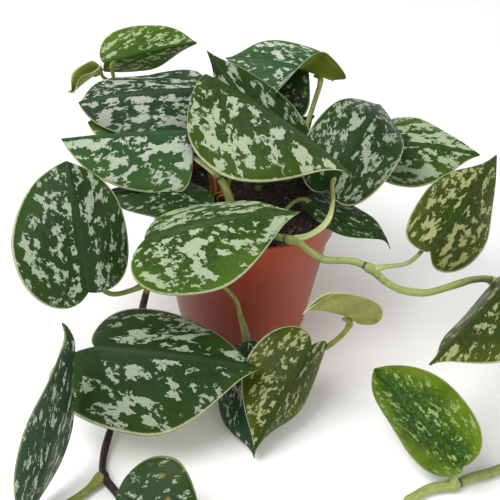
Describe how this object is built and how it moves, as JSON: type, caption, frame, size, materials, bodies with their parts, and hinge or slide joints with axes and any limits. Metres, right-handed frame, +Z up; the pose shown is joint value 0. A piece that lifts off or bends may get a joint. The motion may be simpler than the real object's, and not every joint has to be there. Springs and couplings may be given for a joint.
{
  "type": "potted plant",
  "caption": "Trailing houseplant with heart-shaped, silver-blotched leaves in a round, tapered plastic nursery pot filled with soil.",
  "frame": {"origin": "centre of the pot's flat underside", "axes": "+Z up the pot, -Y to the side that the front leaves trail to, +X to the right seen from that side"},
  "size_m": [0.3152, 0.3227, 0.178],
  "materials": {
    "pot_plastic": "satin terracotta-brown moulded plastic with scuffs",
    "potting_soil": null,
    "dry_sheath": "papery dead leaf sheath, orange-brown",
    "stem": null,
    "leaf": null,
    "young_leaf": "satin yellow-green young blade with a pale rolled margin"
  },
  "bodies": {
    "root": {"pot": "pot_plastic", "soil": "potting_soil", "dry_sheath": "dry_sheath", "crown_left": "stem", "crown_front": "stem", "crown_right": "stem", "back_vine": "stem", "left_vine": "stem", "right_vine": "stem", "leaf_back_left_high": "leaf", "leaf_back_left_young": "young_leaf", "leaf_left_upper": "leaf", "leaf_left_under": "leaf", "leaf_left_folded": "leaf", "leaf_left_low": "leaf", "leaf_left_hanging": "leaf", "leaf_front_centre": "leaf", "leaf_crown": "leaf", "leaf_crown_back": "leaf", "leaf_back_right_high": "leaf", "leaf_right_round": "leaf", "leaf_back_right_inner": "leaf", "leaf_inner_small": "leaf", "leaf_right_back": "leaf", "leaf_right_low": "leaf", "leaf_right_far": "leaf", "leaf_right_edge": "leaf", "leaf_right_ground": "leaf", "leaf_front_young": "young_leaf", "leaf_front_olive": "leaf", "leaf_front_dark": "leaf", "leaf_left_large": "leaf", "leaf_left_narrow": "leaf", "leaf_front_ground": "leaf", "leaf_back_left_trailing": "leaf", "leaf_back_right_trailing": "leaf"}
  },
  "joints": []
}
